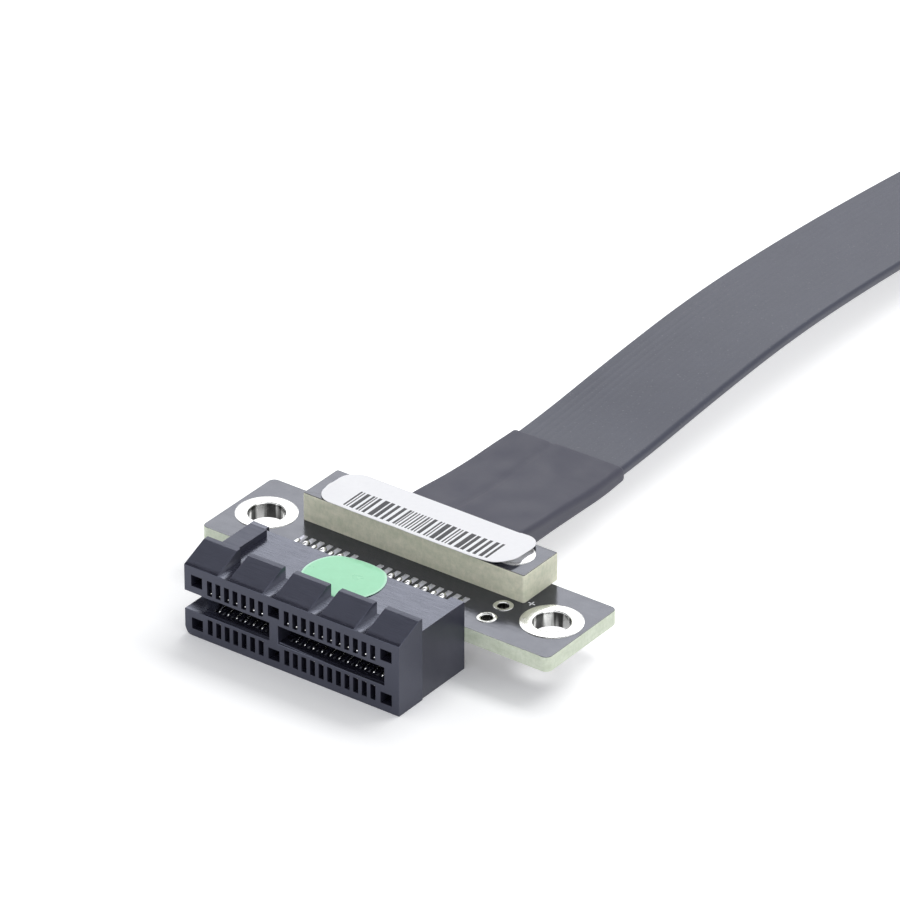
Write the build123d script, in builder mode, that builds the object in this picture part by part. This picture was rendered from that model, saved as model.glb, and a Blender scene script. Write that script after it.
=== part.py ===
"""Extension cable for a one-lane expansion card, in millimetres.

A card-edge socket sits on a small mounting board. A flat cable runs from under the board's clamp bar
to a second board, whose edge is the plug. X runs along the socket, Y from its mating face towards the
cable, and Z is up. The origin is on the surface it stands on, below the middle of the socket end.
"""
import os
from math import radians, tan

from build123d import *

os.makedirs("parts", exist_ok=True)

# Contact rows, shared by the socket and the plug
contact_pitch = 1.0
contacts_before_key = 7
contacts_after_key = 11
key_pitches = 3  # from the last contact before the key to the first one after it
first_contact = 3.0  # from the housing's left end
contact_width = 0.4
contact_thickness = 0.2
contact_gap = 1.24  # between facing contacts, less than the card's thickness

# Socket housing
housing_width = 25.0
housing_depth = 10.37
housing_offset = -1.59  # the housing's middle from the board's middle
housing_floor = 0.8  # below the lower contact channels
housing_roof = 0.65  # above the upper contact channels
channel_width = 0.58
channel_reach = 2.92  # from the card's middle plane to the far side of a channel
channel_back_wall = 1.37
slot_height = 1.66
slot_depth = 6.6
slot_left_wall = 2.05
slot_right_wall = 1.7
slot_lead_in = 0.16
slot_lead_in_depth = 0.3
slot_open_end = 2.5  # how deep the slot's left end is open to the side
lip_height = 0.5  # between the slot and the windows in the front face
lip_depth = 0.9
key_width = 1.0
core_width = 1.3
core_height = 1.2
core_depth = 3.0
core_end_wall = 0.83  # beside the first and last core hole
flange_depth = 3.65
flange_rise = 0.21  # front flange above the body's roof
flange_step = 0.15  # front flange beyond the body's ends
rib_rise = 1.5
rib_flat = 0.6
rib_notches = 4
rib_notch_width = 1.3
rib_notch_pitch = 5.3
arm_width = 2.0
arm_inset = 0.9
arm_rise = 0.7
arm_depth = 4.6
rear_ledge_depth = 0.62
front_left_radius = 0.9
front_right_radius = 0.45

# Contacts, from the front tip to the foot on the board
tip_start = 0.2  # behind the mating face
tip_length = 0.8  # level part that rests over the lip
tip_width = 0.24
tip_rise = 0.15  # above the lip's top
shoulder_place = 1.4  # of the bend behind the lip, from the mating face
shoulder_height = 1.2  # from the card's middle plane
bump_place = 2.95  # from the mating face
bump_length = 0.5
arm_knee = 6.2
arm_height = 2.2  # of the rear stem over the card's middle plane
knee_drop = 0.35
tail_reach = 0.55  # straight out of the housing's rear
tail_fall = 1.2
foot_length = 1.35
slit_clearance = 0.02

# Main board
board_width = 40.52
board_depth = 11.15
board_thickness = 1.6
board_corner = 0.7
copper = 0.05
pad_width = 0.6
pad_start = 0.9  # behind the board's front edge
pad_length = 3.5
mount_inset = 3.56  # from the board's ends
mount_bore = 3.6
mount_ring = 6.1
header_bore = 1.1
header_ring = 1.95
header_pitch = 2.6
header_to_mount = 5.31
header_y = 3.9  # middle of the pair, behind the board's front edge

# Clamp bar, the same on both boards
bar_to_ring = 0.7  # from the bar's ends to the mounting rings
bar_depth = 5.45
bar_thickness = 2.94
bar_offset = -0.25
bar_overhang = 0.96  # behind the main board
bar_corner = 0.25
post_inset = 3.0  # from the bar's ends
post_bore = 2.2
post_ring = 4.2
post_dome = 0.15
pocket_front_wall = 1.6
pocket_clearance = 0.2
pocket_roof = 0.55

# Labels
label_margin = 3.3  # how much shorter it is than the bar
label_depth = 6.1
label_thickness = 0.1
label_corner = 2.0
label_offset = -0.3  # from the bar's middle
label_rear = 0.5  # behind the bar
sticker_size = 7.8
sticker_thickness = 0.06
sticker_place = 13.1  # from the housing's left end
sticker_middle = 7.1  # behind the mating face
sticker_gap = 0.1  # behind the ribs, where its edge is cut off

# Cable and its sleeves
cable_width = 12.5
cable_thickness = 1.1
cable_edge = 0.45
bend_share = 0.45  # how much of a run each of its corner arcs may take
cable_height = 1.48  # middle of the cable over the board at each clamp bar
cable_offset = 0.86  # the cable's middle at the socket's bar from the board's middle
sleeve_length = 18.8
sleeve_wall = 0.3
sleeve_swell = 0.65  # extra height over the wires at the bar
sleeve_fit = 0.04
sleeve_edge = 0.6
wires = 14
wire_pitch = 0.84
wire_size = 0.34
wire_gap = 0.2  # before the cable's cut end
wire_straight = 0.9
wire_slope = 1.7
wire_foot = 1.1
land_length = 1.3
land_width = 0.5

# Plug board
plug_board_width = 30.0
plug_body_depth = 9.4
tongue_length = 7.2
tongue_clearance = 0.12
tongue_bevel = 0.4
notch_width = 1.9
finger_width = 0.7
finger_length = 4.3
finger_edge = 0.7  # from the tongue's front edge

# Heights and places that follow from them
card_plane = housing_floor + channel_reach
body_top = card_plane + channel_reach + housing_roof
board_top = card_plane + board_thickness / 2
overall_depth = housing_depth + board_depth + bar_overhang + label_rear
mating_face = -overall_depth / 2
housing_rear = mating_face + housing_depth
board_middle = housing_rear + board_depth / 2
bar_rear = housing_rear + board_depth + bar_overhang
mount_spacing = board_width - 2 * mount_inset
header_x = mount_spacing / 2 - header_to_mount
bar_width = mount_spacing - mount_ring - 2 * bar_to_ring
post_spacing = bar_width - 2 * post_inset
label_width = bar_width - label_margin
housing_left = housing_offset - housing_width / 2
housing_right = housing_offset + housing_width / 2
slot_left = housing_left + slot_left_wall
slot_right = housing_right - slot_right_wall
last_before_key = contacts_before_key - 1
contact_steps = [*range(contacts_before_key)]
contact_steps += [last_before_key + key_pitches + k for k in range(contacts_after_key)]
contact_xs = [housing_left + first_contact + contact_pitch * k for k in contact_steps]
key_x = housing_left + first_contact + contact_pitch * (last_before_key + key_pitches / 2)
foot_height = board_thickness / 2 + copper + contact_thickness / 2

# The cable's route: its own points by hand, between the middles of the two clamp bars' rear faces
plug_rest = copper
plug_offset = 2.6
plug_bar_face = 210.6
plug_top = plug_rest + board_thickness
route = [
    (cable_offset, bar_rear, board_top + cable_height),
    (0.56, 22.0, 4.94),
    (0.30, 33.0, 4.84),
    (0.21, 46.0, 5.92),
    (0.06, 60.0, 6.57),
    (-0.12, 76.0, 5.92),
    (-0.16, 94.0, 4.54),
    (0.03, 114.0, 2.58),
    (0.52, 135.0, 1.13),
    (1.17, 156.0, 0.66),
    (1.92, 175.0, 0.92),
    (2.45, 192.0, 1.87),
    (plug_offset, plug_bar_face, plug_top + cable_height),
]

# Each clamp bar is made on a plane of its own: origin on the board below the cable's exit, y to the cable
socket_end = Plane(origin=(0, bar_rear, board_top), x_dir=(1, 0, 0), z_dir=(0, 0, 1))
plug_end = Plane(origin=(plug_offset, plug_bar_face, plug_top), x_dir=(-1, 0, 0), z_dir=(0, 0, 1))


def save(built, name):
    """Labels a finished sub-part and writes its STEP file."""
    built.part.label = name
    export_step(built.part, f"parts/{name}.step")


def contact_line(side):
    """Middle line of one contact in the YZ plane; side is 1 for the upper row and -1 for the lower."""
    lip_top = slot_height / 2 + lip_height
    bump = contact_gap / 2 + contact_thickness / 2
    stations = [
        (tip_start, lip_top + tip_rise),
        (tip_start + tip_length, lip_top + tip_rise),
        (shoulder_place, shoulder_height),
        (bump_place - bump_length / 2, bump),
        (bump_place + bump_length / 2, bump),
        (arm_knee, arm_height - knee_drop),
        (housing_depth - channel_back_wall, arm_height),
        (housing_depth + tail_reach, arm_height),
        (housing_depth + tail_reach + tail_fall, foot_height),
        (housing_depth + tail_reach + tail_fall + foot_length, foot_height),
    ]
    return [(mating_face + y, card_plane + side * height) for y, height in stations]


def contact_row(side):
    """One row of stamped contacts, each a bent strip with a bump in the slot and a foot on its pad."""
    with BuildPart() as contact:
        with BuildSketch(Plane.YZ):
            with BuildLine():
                Polyline(*contact_line(side))
            trace(line_width=contact_thickness)
        extrude(amount=contact_width, both=True)
        # Seen from above, the free end is narrow as far as its shoulder and widens to the bump
        with BuildSketch(Plane.XY):
            with BuildLine():
                Polyline(
                    (0, mating_face),
                    (tip_width / 2, mating_face),
                    (tip_width / 2, mating_face + shoulder_place),
                    (contact_width / 2, mating_face + bump_place),
                    (contact_width / 2, housing_rear + housing_depth),
                    (0, housing_rear + housing_depth),
                    close=True,
                )
            make_face()
            mirror(about=Plane.YZ)
        extrude(amount=2 * card_plane, mode=Mode.INTERSECT)
    with BuildPart() as row:
        with Locations(*[(x, 0, 0) for x in contact_xs]):
            add(contact.part)
    return row


def lining_profile(bore, ring, height, lower, upper):
    """Half section of a copper-lined hole that is height deep, with a ring on either face or on both."""
    inner = bore / 2
    wall = inner + copper
    rim = ring / 2
    below = [(inner, -copper), (rim, -copper), (rim, 0), (wall, 0)]
    above = [(wall, height), (rim, height), (rim, height + copper), (inner, height + copper)]
    if not lower:
        below = [(inner, 0), (wall, 0)]
    if not upper:
        above = [(wall, height), (inner, height)]
    return below + above


def linings_at(places, bore, ring, height, lower=True, upper=True):
    """Copper linings of holes, each place the middle of the hole's lower end."""
    with BuildPart() as linings:
        for place in places:
            with BuildSketch(Plane(origin=place, x_dir=(1, 0, 0), z_dir=(0, -1, 0))):
                with BuildLine():
                    Polyline(*lining_profile(bore, ring, height, lower, upper), close=True)
                make_face()
            revolve(axis=Axis(place, (0, 0, 1)))
    return linings


def across(path, place):
    """Plane across a path at a share of its length, with its x level."""
    along = path % place
    return Plane(origin=path @ place, x_dir=along.cross(Vector(0, 0, 1)), z_dir=along)


def post_places(end, depth):
    """Middles of the two posts on an end's plane, at a depth below that plane."""
    middle = bar_offset if end is socket_end else 0
    return [
        tuple(end.from_local_coords((middle + side * post_spacing / 2, -bar_depth / 2, -depth)))
        for side in (-1, 1)
    ]


def clamp_bar_on(end, exit_x):
    """Thick laminate bar: two post holes, and a pocket for the wires that is open below and behind."""
    middle = bar_offset if end is socket_end else 0
    with BuildPart() as bar:
        with BuildSketch(end):
            with Locations((middle, -bar_depth / 2)):
                RectangleRounded(bar_width, bar_depth, bar_corner)
            with Locations((middle, -bar_depth / 2)):
                with GridLocations(post_spacing, 0, 2, 1):
                    Circle(post_bore / 2 + copper, mode=Mode.SUBTRACT)
        extrude(amount=bar_thickness)
        with BuildSketch(end):
            with Locations((exit_x, 0)):
                Rectangle(
                    cable_width + 2 * pocket_clearance,
                    bar_depth - pocket_front_wall,
                    align=(Align.CENTER, Align.MAX),
                )
        extrude(amount=bar_thickness - pocket_roof, mode=Mode.SUBTRACT)
    return bar


def solder_posts(end):
    """Two soldered posts through bar and board, flush below and standing a little proud on top."""
    depth = board_thickness + copper
    with BuildPart() as posts:
        for place in post_places(end, depth):
            top = depth + bar_thickness + copper
            with BuildSketch(Plane(origin=place, x_dir=(1, 0, 0), z_dir=(0, -1, 0))):
                with BuildLine():
                    Polyline(
                        (0, 0),
                        (post_bore / 2, 0),
                        (post_bore / 2, top),
                        (post_bore / 2 - post_dome, top + post_dome),
                        (0, top + post_dome),
                        close=True,
                    )
                make_face()
            revolve(axis=Axis(place, (0, 0, 1)))
    return posts


def wire_places(exit_x):
    """The wires' places across the cable, on an end's plane."""
    first = exit_x - wire_pitch * (wires - 1) / 2
    return [first + wire_pitch * k for k in range(wires)]


def wires_on(end, exit_x):
    """Bare wires from the cable's cut end down to their lands under the clamp bar."""
    foot = copper + wire_size / 2
    with BuildPart() as group:
        for x in wire_places(exit_x):
            stations = [
                (x, -wire_gap, cable_height),
                (x, -wire_straight, cable_height),
                (x, -wire_straight - wire_slope, foot),
                (x, -wire_straight - wire_slope - wire_foot, foot),
            ]
            points = [end.from_local_coords(station) for station in stations]
            with BuildLine() as line:
                Polyline(*points)
            with BuildSketch(Plane(origin=points[0], z_dir=points[1] - points[0])):
                Circle(wire_size / 2)
            sweep(path=line.wire(), transition=Transition.RIGHT)
    return group


def lands_on(end, exit_x):
    """Tinned copper lands on the board below the wires' feet."""
    with BuildPart() as lands:
        with BuildSketch(end):
            middle = -wire_straight - wire_slope - wire_foot / 2
            with Locations(*[(x, middle) for x in wire_places(exit_x)]):
                Rectangle(land_width, land_length)
        extrude(amount=copper)
    return lands


def sleeve_along(path, bar_face):
    """Shrink sleeve along a path that starts in a bar's rear face, taller there over the wires."""
    fit_width = cable_width + 2 * sleeve_fit
    fit_height = cable_thickness + 2 * sleeve_fit
    with BuildPart() as sleeve:
        for place, swell in ((0, sleeve_swell), (0.5, sleeve_swell / 2), (1, 0)):
            with BuildSketch(across(path, place)):
                height = fit_height + 2 * sleeve_wall + swell
                RectangleRounded(fit_width + 2 * sleeve_wall, height, sleeve_edge)
        sweep(path=path, multisection=True)
        with BuildSketch(across(path, 0)):
            RectangleRounded(fit_width, fit_height, cable_edge)
        sweep(path=path, mode=Mode.SUBTRACT)
        split(bisect_by=bar_face, keep=Keep.TOP)
    return sleeve


# Socket housing: one moulding
with BuildPart() as socket_housing:
    # Flange, and behind it a body that is a little narrower and lower
    flange_top = body_top + flange_rise
    with BuildSketch(Plane.XZ.offset(-mating_face)) as front:
        with Locations((housing_offset, 0)):
            Rectangle(housing_width, flange_top, align=(Align.CENTER, Align.MIN))
        lower_corners = front.vertices().group_by(Axis.Y)[0].sort_by(Axis.X)
        fillet(lower_corners[0], front_left_radius)
        fillet(lower_corners[-1], front_right_radius)
    extrude(amount=-flange_depth)
    with BuildSketch(Plane.XZ.offset(-mating_face - flange_depth)) as back:
        with Locations((housing_offset, 0)):
            Rectangle(housing_width - 2 * flange_step, body_top, align=(Align.CENTER, Align.MIN))
        lower_corners = back.vertices().group_by(Axis.Y)[0].sort_by(Axis.X)
        fillet(lower_corners[0], front_left_radius - flange_step)
        fillet(lower_corners[-1], front_right_radius - flange_step)
    extrude(amount=flange_depth - housing_depth)
    # Sloped ribs along the flange's top, parted by notches
    with BuildSketch(Plane.YZ.offset(housing_left)):
        with BuildLine():
            Polyline(
                (mating_face, flange_top),
                (mating_face + flange_depth - rib_flat, body_top + rib_rise),
                (mating_face + flange_depth, body_top + rib_rise),
                (mating_face + flange_depth, flange_top),
                close=True,
            )
        make_face()
    extrude(amount=housing_width)
    with BuildSketch(Plane.XY.offset(flange_top)):
        with Locations((housing_offset, mating_face + flange_depth / 2)):
            with GridLocations(rib_notch_pitch, 0, rib_notches, 1):
                Rectangle(rib_notch_width, flange_depth)
    extrude(amount=rib_rise, mode=Mode.SUBTRACT)
    # Raised arm on the roof, behind the first rib
    with BuildSketch(Plane.XY.offset(body_top)):
        with Locations((housing_left + arm_inset, mating_face + flange_depth)):
            Rectangle(arm_width, arm_depth, align=(Align.MIN, Align.MIN))
    extrude(amount=arm_rise)
    # Card slot: a lead-in at its mouth, a key rib, and an end that is open to the left
    half = slot_height / 2
    mouth = half + slot_lead_in
    for left, right in ((slot_left, key_x - key_width / 2), (key_x + key_width / 2, slot_right)):
        with BuildSketch(Plane.YZ.offset(left)):
            with BuildLine():
                Polyline(
                    (mating_face, card_plane - mouth),
                    (mating_face + slot_lead_in_depth, card_plane - half),
                    (mating_face + slot_depth, card_plane - half),
                    (mating_face + slot_depth, card_plane + half),
                    (mating_face + slot_lead_in_depth, card_plane + half),
                    (mating_face, card_plane + mouth),
                    close=True,
                )
            make_face()
        extrude(amount=right - left, mode=Mode.SUBTRACT)
    with BuildSketch(Plane.XZ.offset(-mating_face)):
        with Locations((housing_left, card_plane)):
            Rectangle(slot_left_wall, slot_height + 2 * slot_lead_in, align=(Align.MIN, Align.CENTER))
    extrude(amount=-slot_open_end, mode=Mode.SUBTRACT)
    # Contact channels: a window in the face, open to the slot behind the lip, and a slit to the rear
    lip_top = slot_height / 2 + lip_height
    for side in (-1, 1):
        for x in contact_xs:
            with BuildSketch(Plane.YZ.offset(x)):
                with BuildLine():
                    Polyline(
                        (mating_face, card_plane + side * lip_top),
                        (mating_face + lip_depth, card_plane + side * lip_top),
                        (mating_face + lip_depth, card_plane + side * slot_height / 4),
                        (mating_face + slot_depth, card_plane + side * slot_height / 4),
                        (mating_face + slot_depth, card_plane + side * lip_top),
                        (housing_rear - channel_back_wall, card_plane + side * lip_top),
                        (housing_rear - channel_back_wall, card_plane + side * channel_reach),
                        (mating_face, card_plane + side * channel_reach),
                        close=True,
                    )
                make_face()
    extrude(amount=channel_width / 2, both=True, mode=Mode.SUBTRACT)
    with BuildSketch(Plane.XZ.offset(-housing_rear)):
        for side in (-1, 1):
            with Locations(*[(x, card_plane + side * arm_height) for x in contact_xs]):
                Rectangle(contact_width + 2 * slit_clearance, contact_thickness + 2 * slit_clearance)
    extrude(amount=channel_back_wall, mode=Mode.SUBTRACT)
    # Square core holes at both ends and beside the key
    core_left = housing_left + core_end_wall + core_width / 2
    core_right = housing_right - core_end_wall - core_width / 2
    core_reach = channel_reach - core_height / 2
    with BuildSketch(Plane.XZ.offset(-mating_face)):
        for side in (-1, 1):
            with Locations(*[(x, card_plane + side * core_reach) for x in (core_left, key_x, core_right)]):
                Rectangle(core_width, core_height)
    extrude(amount=-core_depth, mode=Mode.SUBTRACT)
    # The roof stops short of the rear wall between the ends, over the tails
    with BuildSketch(Plane.XY.offset(body_top)):
        with Locations(((slot_left + slot_right) / 2, housing_rear)):
            Rectangle(slot_right - slot_left, rear_ledge_depth, align=(Align.CENTER, Align.MAX))
    extrude(amount=-(channel_reach + housing_roof - arm_height - contact_thickness), mode=Mode.SUBTRACT)
save(socket_housing, "socket_housing")

upper_contacts = contact_row(1)
save(upper_contacts, "upper_contacts")
lower_contacts = contact_row(-1)
save(lower_contacts, "lower_contacts")

# Main board, drilled for the linings of its plated holes
mount_places = [(side * mount_spacing / 2, board_middle, board_top - board_thickness) for side in (-1, 1)]
header_places = [
    (header_x, housing_rear + header_y + side * header_pitch / 2, board_top - board_thickness)
    for side in (-1, 1)
]
with BuildPart() as main_board:
    with BuildSketch(Plane.XY.offset(board_top - board_thickness)):
        with Locations((0, board_middle)):
            RectangleRounded(board_width, board_depth, board_corner)
        with Locations(*[place[:2] for place in mount_places]):
            Circle(mount_bore / 2 + copper, mode=Mode.SUBTRACT)
        with Locations(*[place[:2] for place in header_places]):
            Circle(header_bore / 2 + copper, mode=Mode.SUBTRACT)
        with Locations(*[place[:2] for place in post_places(socket_end, 0)]):
            Circle(post_bore / 2 + copper, mode=Mode.SUBTRACT)
    extrude(amount=board_thickness)
save(main_board, "main_board")

for side, name in ((1, "top_pads"), (-1, "bottom_pads")):
    with BuildPart() as pads:
        with BuildSketch(Plane.XY.offset(card_plane + side * board_thickness / 2)):
            with Locations(*[(x, housing_rear + pad_start) for x in contact_xs]):
                Rectangle(pad_width, pad_length, align=(Align.CENTER, Align.MIN))
        extrude(amount=side * copper)
    save(pads, name)

left_mount_ring = linings_at(mount_places[:1], mount_bore, mount_ring, board_thickness)
save(left_mount_ring, "left_mount_ring")
right_mount_ring = linings_at(mount_places[1:], mount_bore, mount_ring, board_thickness)
save(right_mount_ring, "right_mount_ring")
header_rings = linings_at(header_places, header_bore, header_ring, board_thickness)
save(header_rings, "header_rings")


# Clamp bar of the socket end, with its posts, linings, wires and lands
clamp_bar = clamp_bar_on(socket_end, cable_offset)
save(clamp_bar, "clamp_bar")
bar_rings = linings_at(post_places(socket_end, 0), post_bore, post_ring, bar_thickness, lower=False)
save(bar_rings, "bar_rings")
post_rings = linings_at(
    post_places(socket_end, board_thickness), post_bore, post_ring, board_thickness, upper=False
)
save(post_rings, "post_rings")
bar_posts = solder_posts(socket_end)
save(bar_posts, "bar_posts")
socket_wires = wires_on(socket_end, cable_offset)
save(socket_wires, "socket_wires")
socket_lands = lands_on(socket_end, cable_offset)
save(socket_lands, "socket_lands")

# Long label that lies on the posts' domes, over the clamp bar and past its rear edge
with BuildPart() as bar_label:
    with BuildSketch(Plane.XY.offset(board_top + bar_thickness + copper + post_dome)):
        with Locations((bar_offset + label_offset, bar_rear + label_rear - label_depth / 2)):
            RectangleRounded(label_width, label_depth, label_corner)
    extrude(amount=label_thickness)
save(bar_label, "bar_label")

# Round sticker on the housing's roof, cut off behind the ribs and a little past the roof's rear edge
with BuildPart() as round_sticker:
    with BuildSketch(Plane.XY.offset(body_top)):
        with Locations((housing_left + sticker_place, mating_face + sticker_middle)):
            Circle(sticker_size / 2)
        with Locations((housing_left + sticker_place, mating_face + flange_depth + sticker_gap)):
            Rectangle(
                sticker_size, sticker_size, align=(Align.CENTER, Align.MAX), mode=Mode.SUBTRACT
            )
    extrude(amount=sticker_thickness)
save(round_sticker, "round_sticker")

# Cable: straight runs joined by tangent arcs, as wide as their runs allow
corner_radii = []
for before, at, after in zip(route, route[1:], route[2:]):
    run_in = Vector(*at) - Vector(*before)
    run_out = Vector(*after) - Vector(*at)
    turn = run_in.get_angle(run_out)
    corner_radii.append(bend_share * min(run_in.length, run_out.length) / tan(radians(turn / 2)))
with BuildLine() as cable_line:
    FilletPolyline(*route, radius=corner_radii)
cable_path = cable_line.wire()
with BuildPart() as cable_jacket:
    with BuildSketch(across(cable_path, 0)) as jacket_section:
        RectangleRounded(cable_width, cable_thickness, cable_edge)
    sweep(path=cable_path)
save(cable_jacket, "cable_jacket")
section_area = jacket_section.sketch.area
print("cable length", round(cable_path.length, 2), "radii", [round(r) for r in corner_radii])
print("volume over section times length", cable_jacket.part.volume / (section_area * cable_path.length))

sleeve_share = sleeve_length / cable_path.length
socket_sleeve = sleeve_along(
    cable_path.trim(0, sleeve_share), Plane(origin=route[0], x_dir=(1, 0, 0), z_dir=(0, 1, 0))
)
save(socket_sleeve, "socket_sleeve")
with BuildLine() as back_line:
    FilletPolyline(*reversed(route), radius=[*reversed(corner_radii)])
plug_sleeve = sleeve_along(
    back_line.wire().trim(0, sleeve_share), Plane(origin=route[-1], x_dir=(1, 0, 0), z_dir=(0, -1, 0))
)
save(plug_sleeve, "plug_sleeve")

# Plug board: a body under the clamp bar and a tongue with a key notch and a bevelled front edge
plug_shift = plug_offset - (slot_left + slot_right) / 2
tongue_left = slot_left + tongue_clearance + plug_shift
tongue_right = slot_right - tongue_clearance + plug_shift
body_front = plug_bar_face + plug_body_depth
tongue_front = body_front + tongue_length
finger_xs = [x + plug_shift for x in contact_xs]
with BuildPart() as plug_board:
    with BuildSketch(Plane.XY.offset(plug_rest)):
        with Locations((plug_offset, plug_bar_face + plug_body_depth / 2)):
            RectangleRounded(plug_board_width, plug_body_depth, board_corner)
        with Locations((tongue_left, body_front)):
            Rectangle(tongue_right - tongue_left, tongue_length, align=(Align.MIN, Align.MIN))
        with Locations((key_x + plug_shift, body_front)):
            Rectangle(notch_width, tongue_length, align=(Align.CENTER, Align.MIN), mode=Mode.SUBTRACT)
        with Locations(*[place[:2] for place in post_places(plug_end, 0)]):
            Circle(post_bore / 2 + copper, mode=Mode.SUBTRACT)
    extrude(amount=board_thickness)
    front_edges = plug_board.edges().filter_by(Axis.X).group_by(Axis.Y)[-1]
    chamfer(front_edges, tongue_bevel)
save(plug_board, "plug_board")

for height, step, name in (
    (plug_top, copper, "plug_fingers_top"),
    (plug_rest, -copper, "plug_fingers_bottom"),
):
    with BuildPart() as fingers:
        with BuildSketch(Plane.XY.offset(height)):
            with Locations(*[(x, tongue_front - finger_edge) for x in finger_xs]):
                Rectangle(finger_width, finger_length, align=(Align.CENTER, Align.MAX))
        extrude(amount=step)
    save(fingers, name)

# Clamp bar of the plug end
plug_clamp_bar = clamp_bar_on(plug_end, 0)
save(plug_clamp_bar, "plug_clamp_bar")
plug_bar_rings = linings_at(post_places(plug_end, 0), post_bore, post_ring, bar_thickness, lower=False)
save(plug_bar_rings, "plug_bar_rings")
plug_post_rings = linings_at(
    post_places(plug_end, board_thickness), post_bore, post_ring, board_thickness, upper=False
)
save(plug_post_rings, "plug_post_rings")
plug_posts = solder_posts(plug_end)
save(plug_posts, "plug_posts")
plug_wires = wires_on(plug_end, 0)
save(plug_wires, "plug_wires")
plug_lands = lands_on(plug_end, 0)
save(plug_lands, "plug_lands")
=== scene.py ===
"""Looks of a card extension cable: a slotted black socket on its small board, the laminate bar over the
cable's soldered end, the flat ribbed cable in its shrink sleeves, and the plug board at the far end.

Lengths are millimetres until a mesh is made, and metres from there on."""
from math import radians

import bmesh
import bpy
import numpy as np
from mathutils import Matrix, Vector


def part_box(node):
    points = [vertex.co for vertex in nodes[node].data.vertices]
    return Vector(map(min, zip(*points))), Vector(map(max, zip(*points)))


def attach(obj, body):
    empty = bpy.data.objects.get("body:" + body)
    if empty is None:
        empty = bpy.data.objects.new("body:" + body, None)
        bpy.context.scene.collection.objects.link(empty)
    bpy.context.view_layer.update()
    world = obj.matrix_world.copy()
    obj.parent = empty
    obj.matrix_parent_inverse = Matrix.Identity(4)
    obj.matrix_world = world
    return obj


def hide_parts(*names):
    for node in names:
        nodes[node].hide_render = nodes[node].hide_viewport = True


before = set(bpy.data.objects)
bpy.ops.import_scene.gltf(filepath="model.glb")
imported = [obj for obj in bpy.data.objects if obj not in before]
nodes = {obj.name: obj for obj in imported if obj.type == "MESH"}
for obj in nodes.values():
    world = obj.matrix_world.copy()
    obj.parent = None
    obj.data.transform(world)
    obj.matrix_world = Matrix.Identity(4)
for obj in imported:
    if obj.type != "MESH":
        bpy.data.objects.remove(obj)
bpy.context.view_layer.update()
MM = 0.001

# Places on the object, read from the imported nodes

def corners(node):
    """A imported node's lowest and highest corners, in millimetres."""
    return np.array(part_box(node)) / MM


housing_low, housing_high = corners("socket_housing")
board_low, board_high = corners("main_board")
bar_high = corners("clamp_bar")[1]
label_low, label_high = corners("bar_label")
sticker_low, sticker_high = corners("round_sticker")
plug_low, plug_high = corners("plug_board")

board_under, board_over = board_low[2], board_high[2]
card_plane = (board_under + board_over) / 2
roof = sticker_low[2]

board_thickness = 1.6
copper = 0.05
pad_width = 0.6
finger_width = 0.7
film_thickness = 0.06

# The contacts stand 1 mm apart, 7 before the key and 11 after it
contact_steps = np.array([*range(7), *range(9, 20)], float)
contact_count = len(contact_steps)
contact_xs = corners("top_pads")[0, 0] + pad_width / 2 + contact_steps
finger_xs = corners("plug_fingers_top")[0, 0] + finger_width / 2 + contact_steps


# Camera: a long lens from the front right and above, as the photograph was taken

lens = bpy.data.cameras.new("photo_camera")
lens.sensor_width = 36.0
lens.lens = 308.4986
lens.clip_start = 0.05
lens.clip_end = 20.0
camera = bpy.data.objects.new("photo_camera", lens)
camera.location = (0.37189, -0.49137, 0.37804)
camera.rotation_euler = (radians(59.7896), radians(0.0439), radians(36.4773))
bpy.context.scene.collection.objects.link(camera)
bpy.context.scene.camera = camera


# Mesh building

def grid_faces(rows, cols, round_rows=False, round_cols=False):
    """Quads of a grid of points stored row by row: each joins a point to its neighbours in the next column
    and the next row, and a round direction joins its last line back to its first."""
    row = np.arange(rows if round_rows else rows - 1)[:, None]
    col = np.arange(cols if round_cols else cols - 1)[None, :]
    next_row, next_col = (row + 1) % rows, (col + 1) % cols
    quad = (row * cols + col, row * cols + next_col, next_row * cols + next_col, next_row * cols + col)
    return np.stack(np.broadcast_arrays(*quad), -1).reshape(-1, 4).tolist()


def repeated(faces, size, copies):
    """The faces of several copies of a shape of size points, one copy's points after another's."""
    return [[point + size * copy for point in face] for copy in range(copies) for face in faces]


def read(items, field, width=1, kind=np.float32):
    """One field of a mesh's points, edges, faces or face corners, all at once, with a row for each."""
    values = np.empty(len(items) * width, kind)
    items.foreach_get(field, values)
    return values.reshape(-1, width) if width > 1 else values


def make(name, points, faces, material, closed=True, sharp=35.0, stands_for=()):
    """A piece of the object from points in millimetres and faces. Points that meet are merged. A closed
    shape is turned so that its volume is positive, and an open sheet so that it faces up."""
    meeting = 2e-7
    mesh = bpy.data.meshes.new(name)
    mesh.from_pydata(np.asarray(points, float).reshape(-1, 3) * MM, [], faces)
    build = bmesh.new()
    build.from_mesh(mesh)
    bmesh.ops.remove_doubles(build, verts=build.verts, dist=meeting)
    if closed and build.calc_volume(signed=True) < 0:
        bmesh.ops.reverse_faces(build, faces=build.faces)
    if not closed and sum(face.normal.z * face.calc_area() for face in build.faces) < 0:
        bmesh.ops.reverse_faces(build, faces=build.faces)
    for edge in build.edges:
        edge.smooth = closed or not edge.is_boundary
    build.to_mesh(mesh)
    build.free()
    mesh.shade_smooth()
    if closed:
        mesh.set_sharp_from_angle(angle=radians(sharp))
    mesh.materials.append(material)
    return settle(bpy.data.objects.new(name, mesh), stands_for)


def settle(piece, stands_for=()):
    """Puts a piece in the scene, on the root body and the nodes that it stands for."""
    bpy.context.scene.collection.objects.link(piece)
    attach(piece, "root")
    if stands_for:
        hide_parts(*stands_for)
    return piece


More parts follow.
